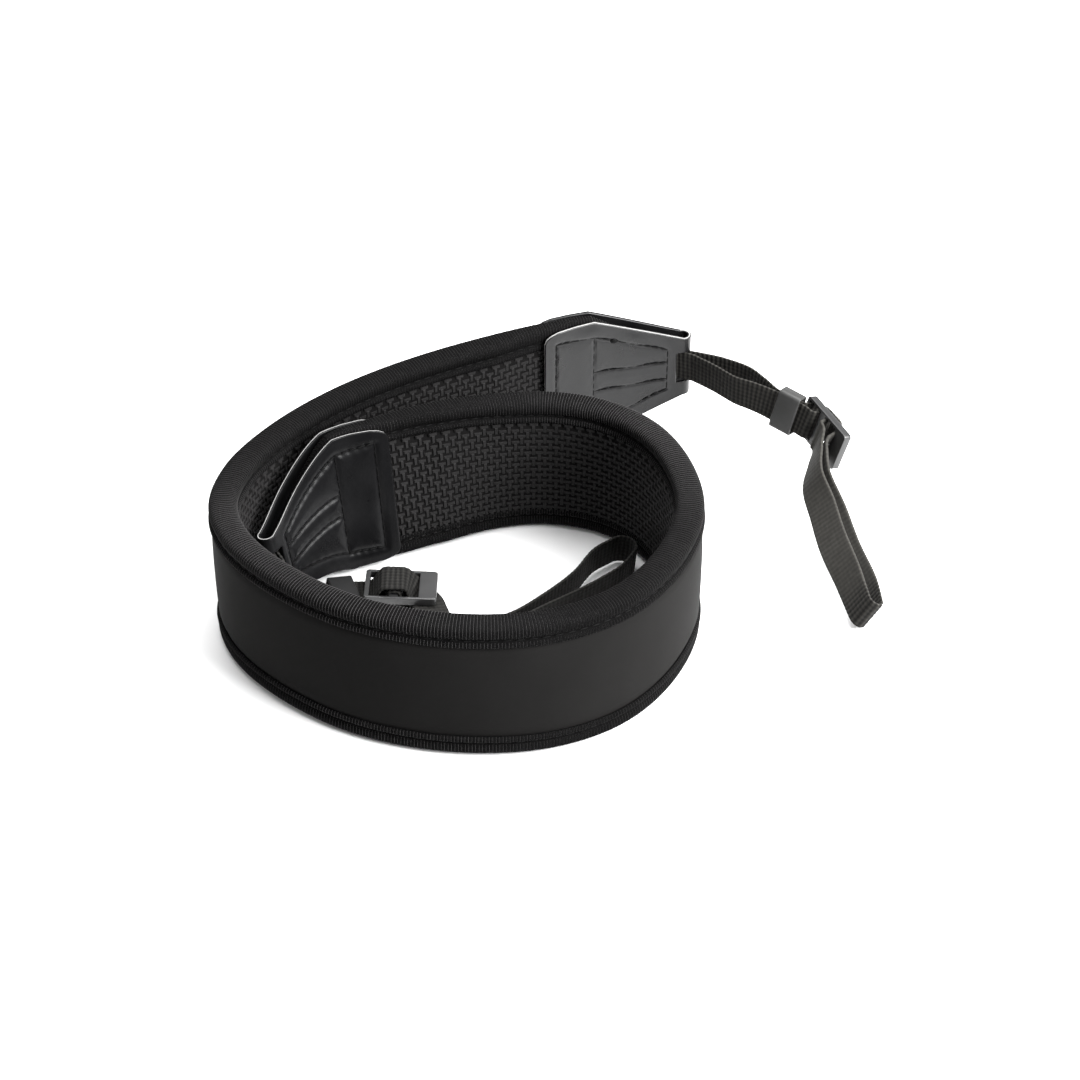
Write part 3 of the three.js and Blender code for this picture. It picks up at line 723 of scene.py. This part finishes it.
def makeTab(name, end):
    form = tab[end]
    freeTo, freeSteps = tab["freeEnd"]
    sewnFrom, sewnSteps = tab["sewnPart"]
    free = np.linspace(tab["length"], freeTo, freeSteps)
    flat = np.concatenate([free, np.linspace(sewnFrom, 0, sewnSteps)])
    turn = np.linspace(0, math.pi, tab["foldSteps"])[1:-1]
    shares = np.linspace(-1, 1, tab["acrossSteps"])
    heightOf = np.array(tab["rows"], float).T
    foldMiddle = pad["endRows"][0][1] / 2
    stations = [("inner", away) for away in flat] + [("fold", angle) for angle in turn]
    stations += [("outer", away) for away in flat[::-1]]
    sheets = []
    for offset in (tab["gap"], tab["gap"] + tab["wall"]):
        rows = []
        for kind, value in stations:
            away = 0.0 if kind == "fold" else value
            rise = shares * np.interp(away, *heightOf) / 2
            relief = sheetRelief(np.full(len(rise), away), rise, form)
            if kind == "fold":
                radius = foldMiddle + offset
                along = tabAlong(end, -radius * math.sin(value))
                depth = np.full(len(rise), foldMiddle + radius * math.cos(value))
            else:
                along = tabAlong(end, away)
                face = endValue(1, np.array([along]))[0]
                depth = face + offset + relief if kind == "inner" else -offset - relief
            rows.append(strapSpots([along], depth[None], (halfWidth + rise)[None])[0])
        sheets.append(rows)
    spots = np.array(sheets)
    length, width = spots.shape[1:3]
    corners = spots.reshape(-1, 3).tolist()
    rises = [shares * np.interp(0.0 if kind == "fold" else value, *heightOf) / 2 for kind, value in stations]
    made = {}

    def pick(sheet, i, j):
        return (sheet * length + i) * width + j

    # corner inside the thickness of a cut edge
    def between(share, i, j):
        if (share, i, j) not in made:
            made[share, i, j] = len(corners)
            corners.append((spots[0, i, j] * (1 - share) + spots[1, i, j] * share).tolist())
        return made[share, i, j]

    def edgeCorners(i, j):
        return [pick(0, i, j), *(between(share, i, j) for share in form["core"]), pick(1, i, j)]

    def slitAt(i, j):
        kind, value = stations[i]
        onWay = (kind == "inner" and value < tab["slitRun"]) or (kind == "fold" and value < tab["slitTurn"])
        return onWay and abs((rises[i][j] + rises[i][j + 1]) / 2) < tab["slitHalf"]

    faces, kinds = [], []
    for i in range(length - 1):
        for j in range(width - 1):
            if slitAt(i, j):
                continue
            faces.append((pick(0, i, j), pick(0, i + 1, j), pick(0, i + 1, j + 1), pick(0, i, j + 1)))
            faces.append((pick(1, i, j), pick(1, i, j + 1), pick(1, i + 1, j + 1), pick(1, i + 1, j)))
            kinds += [0, 0]
            sides = [((i, j), (i, j + 1), i == 0, i > 0 and slitAt(i - 1, j)),
                     ((i + 1, j), (i + 1, j + 1), i == length - 2, i < length - 2 and slitAt(i + 1, j)),
                     ((i, j), (i + 1, j), j == 0, j > 0 and slitAt(i, j - 1)),
                     ((i, j + 1), (i + 1, j + 1), j == width - 2, j < width - 2 and slitAt(i, j + 1))]
            for start, stop, cut, slit in sides:
                if cut or slit:
                    pale = int(cut and stations[i][0] in form["pale"])
                    near, far = edgeCorners(*start), edgeCorners(*stop)
                    faces += [(near[k], far[k], far[k + 1], near[k + 1]) for k in range(3)]
                    kinds += [0, pale, 0]
    piece = makePiece(name, corners, faces, [tabFinish[end], finishOf["cutEdge"]], faceFinish=kinds)
    return dropLoose(piece)


# drops the corners over the slit and keeps the pale line crisp
def dropLoose(piece):
    shell = bmesh.new()
    shell.from_mesh(piece.data)
    bmesh.ops.delete(shell, geom=[v for v in shell.verts if not v.link_faces], context="VERTS")
    sharp = [e for e in shell.edges if len(e.link_faces) == 2
             and e.link_faces[0].material_index != e.link_faces[1].material_index]
    for edge in sharp:
        edge.smooth = False
    shell.to_mesh(piece.data)
    shell.free()
    return piece


def makeTabSewing(name, end):
    lift = tab["gap"] + tab["wall"] - tab[end]["pinch"] + tabSewing["proud"]
    spots, fronts, outs = [], [], []
    for seam in tabSeams:
        for (ax, ay), (bx, by) in zip(seam, seam[1:]):
            count = max(2, round(math.hypot(bx - ax, by - ay) / tabSewing["pitch"]))
            share = (np.arange(count) + 0.5) / count
            away, rise = ax + (bx - ax) * share, ay + (by - ay) * share
            along = tabAlong(end, away)
            face = endValue(1, along)
            origin, ahead, across, tall = strapAxes(along)
            run = ahead * (bx - ax) * (1 if end == "right" else -1) + tall * (by - ay)
            for side, depth in ((1, face + lift), (-1, np.full(count, -lift))):
                spots.append(origin + across * depth[:, None] + tall * rise[:, None])
                fronts.append(unitRows(run))
                outs.append(across * side)
    sizing = np.ones((sum(map(len, spots)), 3))
    if end == "right":
        away, rise = tabSewing["knot"]
        origin, ahead, across, tall = strapAxes(away)
        spots.append(origin + across * (endValue(1, np.array([away])) + lift) + tall * rise)
        fronts.append(ahead)
        outs.append(across)
        sizing = np.vstack([sizing, tabSewing["knotSize"]])
    values = {"Length": tabSewing["length"] * mm, "Thickness": tabSewing["thickness"] * mm}
    tree = stitchTree(name + "Tree", finishOf["thread"])
    return growOnPoints(name, tree, values, np.vstack(spots), np.vstack(fronts), np.vstack(outs), sizing)


tabRight = makeTab("tabRight", "right")
tabLeft = makeTab("tabLeft", "left")
sewingRight = makeTabSewing("sewingRight", "right")
sewingLeft = makeTabSewing("sewingLeft", "left")
print("tabs made")


# webbing of each end: middle line between the two layers, turn of the width, gap of the layers
webbing = {
    "width": 9.5, "thickness": 1.0, "closed": 1.35, "rootDeep": 6.4, "rootShallow": 1.4,
    "perRow": 100, "layerStep": 0.5, "bendSteps": 14, "step": 0.35, "softening": 5,
    "margin": 0.5, "rim": (0.07, 0.32), "ridge": 1.4, "columns": 7, "perColumn": 4, "weave": 0.24,
    # how deep the weave is between the ridges, where those meet a gap of the columns, and in that gap
    "pressed": (0.8, 0.2, 0.3),
    # the weave is coarse up to a place from the tab and near the tip, and finer between
    "coarse": (57.0, 64.0), "tip": (6.0, 14.0), "fine": {"right": 0.35, "left": 0.6},
    "keeperRow": 5, "sliderRow": 8,
    "right": [
        (68.4, 94.4, 22.2, 0, 1.6), (75.3, 90.0, 22.4, 0, 4.6), (81.2, 85.3, 22.4, 0, 6.6),
        (86.5, 80.2, 22.3, -6, 4.2), (90.8, 75.8, 21.9, -12, 1.35), (94.6, 73.2, 21.4, -15, 1.35),
        (98.0, 70.6, 20.8, -15, 1.35), (99.75, 69.05, 20.5, -15, 1.35), (101.45, 65.95, 20.2, -15, 1.35),
        (103.4, 61.9, 19.7, -15, 1.35), (102.4, 56.0, 18.0, -20, 1.6), (101.6, 47.5, 15.4, -30, 3.0),
        (104.2, 37.5, 11.8, -42, 5.0), (106.7, 26.0, 8.9, -45, 6.4), (110.3, 13.0, 6.9, -38, 6.0),
        (112.2, 2.5, 5.8, -30, 4.4),
    ],
    "left": [
        (-48.0, 5.0, 17.4, 0, 1.6), (-46.0, 1.6, 16.4, 6, 1.8), (-43.0, 0.6, 12.8, 22, 1.9),
        (-39.9, 4.6, 7.8, 58, 1.7), (-36.9, 9.4, 4.0, 86, 1.35), (-31.6, 12.1, 3.0, 90, 1.35),
        (-27.3, 12.9, 2.5, 90, 1.35), (-22.4, 13.3, 2.25, 90, 1.35), (-17.6, 13.3, 2.2, 90, 1.35),
        (-12.3, 13.0, 2.0, 90, 1.35), (-8.9, 10.4, 1.75, 88, 1.35), (-7.2, 5.9, 2.2, 80, 1.35),
        (-5.2, 1.2, 3.35, 62, 1.35), (-1.2, -3.2, 4.6, 40, 1.6), (5.2, -5.9, 5.25, 22, 1.8),
        (14.0, -4.2, 5.3, 12, 2.2), (24.0, 3.0, 5.3, 8, 3.4), (34.4, 12.2, 5.3, 6, 6.4),
        (41.4, 20.8, 5.4, 6, 9.6), (45.6, 25.8, 5.4, 6, 7.6),
    ],
}
slider = {
    "width": 12.2, "thickness": 2.4, "slotWidth": 10.4, "middleBar": 1.2, "slotEnd": 6.9,
    "nearEnd": 8.2, "farEnd": 11.8, "corner": 1.2, "cornerSteps": 4, "edge": 0.6, "edgeSteps": 3,
    "edgeAngle": 40, "sharpAngle": 35, "fit": 0.3, "slack": 0.001,
}
keeper = {
    "length": 7.0, "width": 12.4, "thickness": 4.8, "openWidth": 11.0, "openThickness": 3.6,
    "corner": 1.2, "openCorner": 0.5, "cornerSteps": 6,
    # each ring of an end: depth from the end face, size taken off, whether it is the inner wall
    "rim": [(0.3, 0, 0), (0.1, 0.12, 0), (0, 0.4, 0), (0, -0.3, 1), (0.25, 0, 1)],
    # the left keeper takes the darker copy of the plastic, a painted shade
    "finish": {"right": "plasticMatte", "left": "plasticInShade"},
}
# both layers go over the slider's middle bar: flat half length and foot of each
hump = {
    "rise": slider["thickness"] + webbing["closed"] + webbing["thickness"] + 2 * slider["fit"],
    "under": (1.2, 2.3),
    "over": (2.6, 7.1),
}


def webLine(rows):
    rows = np.array(rows, float)
    shape = np.column_stack([rows[:, 3:5], np.zeros(len(rows))])
    return {"line": makeLine(rows[:, :3], webbing["perRow"] * (len(rows) - 1)), "shape": shape}


def webFrames(web, distance):
    line = web["line"]
    t = np.interp(distance, line["run"], line["t"])
    spot, ahead = followLine(line, t)
    side = unitRows(np.cross(ahead, upright))
    rise = np.cross(side, ahead)
    turn, gap = lineSpots(web["shape"], t)[:, :2].T
    angle = np.radians(turn)[:, None]
    width = rise * np.cos(angle) + side * np.sin(angle)
    return spot, ahead, width, np.cross(width, ahead), gap


def rowRun(web, row):
    return web["line"]["run"][webbing["perRow"] * row]


# both layers, the bend between them and their ends inside the tab, as one strip
def webStrip(end):
    web = webLine(webbing[end])
    length = web["line"]["length"]
    sliderAt = rowRun(web, webbing["sliderRow"])
    first = -1 if end == "right" else 1
    distance = np.arange(0, length, webbing["layerStep"])

    def layer(sign):
        spot, ahead, width, face, gap = webFrames(web, distance)
        flat, foot = hump["over"] if sign > 0 else hump["under"]
        over = hump["rise"] * (1 - smoothStep(np.abs(distance - sliderAt), flat, foot))
        return spot + face * (sign * gap / 2 + over)[:, None], width

    def root(side):
        along = tabAlong(end, np.array([webbing["rootDeep"], webbing["rootShallow"]]))
        origin, ahead, across, tall = strapAxes(along)
        depth = endValue(1, along) / 2 + side * webbing["closed"] / 2
        return origin + across * depth[:, None], tall

    spot, ahead, width, face, gap = (value[0] for value in webFrames(web, np.array([length])))
    angle = np.linspace(0, math.pi, webbing["bendSteps"])[1:-1]
    bend = spot + np.outer(first * gap / 2 * np.cos(angle), face) + np.outer(gap / 2 * np.sin(angle), ahead)
    runs = [root(1), layer(first), (bend, np.repeat(width[None], len(bend), 0))]
    runs += [[rows[::-1] for rows in layer(-first)], [rows[::-1] for rows in root(-1)]]
    return np.vstack([spots for spots, widths in runs]), np.vstack([widths for spots, widths in runs])


# evenly spaced rings with the weave pressed into both faces
def makeWebbing(name, end):
    spots, widths = webStrip(end)
    run = np.concatenate([[0], np.cumsum(np.linalg.norm(np.diff(spots, axis=0), axis=1))])
    at = np.arange(0, run[-1], webbing["step"])
    spot = np.stack([np.interp(at, run, spots[:, k]) for k in range(3)], 1)
    soft = np.ones(webbing["softening"]) / webbing["softening"]
    ends = webbing["softening"] // 2
    spot[ends:-ends] = np.stack([np.convolve(spot[:, k], soft, "valid") for k in range(3)], 1)
    width = np.stack([np.interp(at, run, widths[:, k]) for k in range(3)], 1)
    ahead = unitRows(np.gradient(spot, axis=0))
    face = unitRows(np.cross(width, ahead))
    width = np.cross(ahead, face)
    woven = webbing["width"] - webbing["margin"]
    across = np.linspace(-0.5, 0.5, webbing["columns"] * webbing["perColumn"] + 1) * woven
    half = webbing["thickness"] / 2
    edge = webbing["width"] / 2
    inset, rise = webbing["rim"]
    section = [(x, half, 1) for x in across]  # place across, through, and whether it is woven
    section += [(edge - inset, rise, 0), (edge, 0.0, 0), (edge - inset, -rise, 0)]
    section += [(x, -half, 1) for x in across[::-1]]
    section += [(-edge + inset, -rise, 0), (-edge, 0.0, 0), (-edge + inset, rise, 0)]
    section = np.array(section)
    ridge = 0.5 - 0.5 * np.cos(2 * np.pi * at / webbing["ridge"])[:, None]
    sideways = section[None, :, 0] / woven + 0.5
    column = 0.5 - 0.5 * np.cos(2 * np.pi * webbing["columns"] * sideways)
    between = (1 - column) * section[None, :, 2]
    fromTip = np.abs(at - run[-1] / 2)
    fromTab = run[-1] / 2 - fromTip
    nearTip = 1 - smoothStep(fromTip, *webbing["tip"])
    coarse = np.maximum(nearTip, 1 - smoothStep(fromTab, *webbing["coarse"]))
    fine = webbing["fine"][end]
    strength = (fine + (1 - fine) * coarse)[:, None]
    ridgeGap, crossing, columnGap = webbing["pressed"]
    # the depth of the weave also sets how much painted shade darkens its hollows
    hole = strength * np.clip((1 - ridge) * (ridgeGap + crossing * between) + columnGap * between, 0, 1)
    thick = section[None, :, 1] * (1 - 2 * webbing["weave"] * hole)
    body = spot[:, None] + width[:, None] * section[None, :, 0:1] + face[:, None] * thick[..., None]
    lengthwise = np.repeat(at[:, None], len(section), 1)
    crosswise = np.repeat(section[None, :, 0], len(at), 0)
    strand = np.stack([lengthwise, crosswise, hole], 2)
    return makePiece(name, body, ringFaces(len(at), len(section)), [webFinish[end]], strand=strand)


webRight = makeWebbing("webRight", "right")
webLeft = makeWebbing("webLeft", "left")
print("webbing made", len(webRight.data.polygons), len(webLeft.data.polygons))


# moulded pieces, built with x along the webbing, y across it and z through it
def seatPiece(piece, end, row, lift):
    web = webLine(webbing[end])
    spot, ahead, width, face, gap = (value[0] for value in webFrames(web, np.array([rowRun(web, row)])))
    seat = (spot + face * lift - coilShift) * mm
    turn = Matrix(np.stack([ahead, -width, face], 1).tolist()).to_4x4()
    piece.data.transform(Matrix.Translation(Vector(seat)) @ turn)
    return piece


def roundedOutline(width, height, corner):
    steps = keeper["cornerSteps"]
    spots = []
    for cx, cy, first in ((1, 1, 0), (-1, 1, 90), (-1, -1, 180), (1, -1, 270)):
        for k in range(steps):
            angle = math.radians(first + 90 * k / (steps - 1))
            spots.append((cx * (width / 2 - corner) + corner * math.cos(angle),
                          cy * (height / 2 - corner) + corner * math.sin(angle)))
    return np.array(spots)


def makeKeeper(name, end):
    half = keeper["length"] / 2
    outer, inner = (keeper["thickness"], keeper["width"]), (keeper["openThickness"], keeper["openWidth"])
    rings = [(half - depth, less, wall) for depth, less, wall in keeper["rim"]]
    rings += [(-x, less, wall) for x, less, wall in rings[::-1]]
    spots = []
    for x, less, wall in rings:
        size = inner if wall else outer
        corner = keeper["openCorner"] if wall else keeper["corner"]
        loop = roundedOutline(size[0] - less, size[1] - less, corner)
        spots += [(x, y, z) for z, y in loop]
    size = len(loop)
    faces = []
    for r in range(len(rings)):
        for i in range(size):
            a, b = r * size, ((r + 1) % len(rings)) * size
            j = (i + 1) % size
            faces.append((a + i, a + j, b + j, b + i))
    finish = finishOf[keeper["finish"][end]]
    piece = makePiece(name, np.array(spots) + coilShift, faces, [finish])
    return seatPiece(piece, end, webbing["keeperRow"], 0)


def makeSlider(name, end):
    slot, bar = slider["slotEnd"], slider["middleBar"]
    xs = [-slider["nearEnd"], -slot, -bar, bar, slot, slider["farEnd"]]
    ys = [-slider["width"] / 2, -slider["slotWidth"] / 2, slider["slotWidth"] / 2, slider["width"] / 2]
    shell = bmesh.new()
    corners = [[shell.verts.new((x * mm, y * mm, 0)) for y in ys] for x in xs]
    for i in range(len(xs) - 1):
        for j in range(len(ys) - 1):
            if j == 1 and i in (1, 3):
                continue
            shell.faces.new((corners[i][j], corners[i + 1][j], corners[i + 1][j + 1], corners[i][j + 1]))
    grown = bmesh.ops.extrude_face_region(shell, geom=shell.faces[:])
    moved = [g for g in grown["geom"] if isinstance(g, bmesh.types.BMVert)]
    bmesh.ops.translate(shell, vec=(0, 0, slider["thickness"] * mm), verts=moved)
    bmesh.ops.recalc_face_normals(shell, faces=shell.faces)

    def atCorner(vert):
        endGap = min(abs(vert.co.x - x * mm) for x in (xs[0], xs[-1]))
        return max(endGap, abs(abs(vert.co.y) - ys[-1] * mm)) < slider["slack"] * mm

    # the four upright edges at the outer corners
    outside = [e for e in shell.edges if all(atCorner(v) for v in e.verts)]
    corner = slider["corner"] * mm
    steps = slider["cornerSteps"]
    bmesh.ops.bevel(shell, geom=outside, offset=corner, segments=steps, profile=0.5, affect="EDGES")
    mesh = bpy.data.meshes.new(name)
    shell.to_mesh(mesh)
    shell.free()
    mesh.materials.append(finishOf["plastic"])
    piece = addObject(name, mesh)
    soften = piece.modifiers.new("soften", "BEVEL")
    soften.width = slider["edge"] * mm
    soften.segments = slider["edgeSteps"]
    soften.limit_method = "ANGLE"
    soften.angle_limit = math.radians(slider["edgeAngle"])
    soften.harden_normals = False
    graph = bpy.context.evaluated_depsgraph_get()
    soft = bpy.data.meshes.new_from_object(piece.evaluated_get(graph), depsgraph=graph)
    piece.modifiers.remove(soften)
    piece.data = soft
    soft.polygons.foreach_set("use_smooth", [True] * len(soft.polygons))
    soft.set_sharp_from_angle(angle=math.radians(slider["sharpAngle"]))
    lift = webbing["closed"] / 2 + webbing["thickness"] / 2 + slider["fit"]
    return seatPiece(piece, end, webbing["sliderRow"], lift)


keeperRight = makeKeeper("keeperRight", "right")
keeperLeft = makeKeeper("keeperLeft", "left")
sliderRight = makeSlider("sliderRight", "right")
sliderLeft = makeSlider("sliderLeft", "left")
print("moulded pieces made")


# every piece stands for its solid and rides with the strap
dressed = [
    (outerFace, "outer_panel", "neoprene"), (innerFace, "inner_panel", "mesh"),
    (tapeTop, "binding_top", "tape"), (tapeBottom, "binding_bottom", "tape"),
    (tabRight, "tab_right", "leatherette"), (tabLeft, "tab_left", "leatherette"),
    (webRight, "webbing_right", "webbing"), (webLeft, "webbing_left", "webbing"),
    (keeperRight, "keeper_right", "plastic"), (keeperLeft, "keeper_left", "plastic"),
    (sliderRight, "slider_right", "plastic"), (sliderLeft, "slider_left", "plastic"),
    (ribsTop, None, "tape"), (ribsBottom, None, "tape"),
    (liningCells, None, "mesh"), (edgeThread, None, "tape"),
    (sewingRight, None, "leatherette"), (sewingLeft, None, "leatherette"),
]
for piece, node, slotName in dressed:
    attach(piece, "root")
    if node:
        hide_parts(node)


# floor, light and camera
studio = {
    "target": (22.79, 40.14, 0.0),  # in the coil's own frame, mm
    "distance": 0.8,
    "elevation": 39.0,
    "lens": 93.33,
    "sensor": 36,
    "world": 0.5,
    "floorHalf": 4,
    "floorTone": (0.9, 0.9, 0.9),
    "floorRoughness": 0.8,
    "floorSpecular": 0.1,
    # spot, aim, size, power
    "lamps": {
        "keyRight": ((0.85, -0.4, 0.65), (0, 0, 0.02), (0.7, 0.7), 46),
        "softTop": ((0.1, 0.3, 1.1), (0, 0, 0), (1.2, 0.9), 28),
    },
}


def makeFloor():
    mesh = bpy.data.meshes.new("floor")
    half = studio["floorHalf"]
    corners = [(-half, -half, 0), (half, -half, 0), (half, half, 0), (-half, half, 0)]
    mesh.from_pydata(corners, [], [(0, 1, 2, 3)])
    finish, tree, shader = newFinish("floorWhite", studio["floorTone"], studio["floorRoughness"])
    shader.inputs["Specular IOR Level"].default_value = studio["floorSpecular"]
    mesh.materials.append(finish)
    floor = addObject("floor", mesh)
    floor.visible_diffuse = False


def addLamp(name, spot, aim, size, power):
    lamp = bpy.data.lights.new(name, "AREA")
    lamp.shape = "RECTANGLE"
    lamp.size, lamp.size_y = size
    lamp.energy = power
    holder = bpy.data.objects.new(name, lamp)
    bpy.context.scene.collection.objects.link(holder)
    holder.location = spot
    holder.rotation_euler = (Vector(aim) - Vector(spot)).to_track_quat("-Z", "Y").to_euler()


def makeStudio():
    scene = bpy.context.scene
    makeFloor()
    world = bpy.data.worlds.new("studioWorld")
    world.use_nodes = True
    setInputs(world.node_tree.nodes["Background"], {"Color": (1, 1, 1, 1), "Strength": studio["world"]})
    scene.world = world
    for name, lamp in studio["lamps"].items():
        addLamp(name, *lamp)
    lens = bpy.data.cameras.new("camera")
    lens.lens = studio["lens"]
    lens.sensor_width = studio["sensor"]
    holder = bpy.data.objects.new("camera", lens)
    scene.collection.objects.link(holder)
    aim = Vector((np.array(studio["target"]) - coilShift) * mm)
    angle = math.radians(studio["elevation"])
    holder.location = aim + Vector((0, -math.cos(angle), math.sin(angle))) * studio["distance"]
    holder.rotation_euler = (math.radians(90) - angle, 0, 0)
    scene.camera = holder
    scene.view_settings.view_transform = "Standard"


makeStudio()
print("studio made")
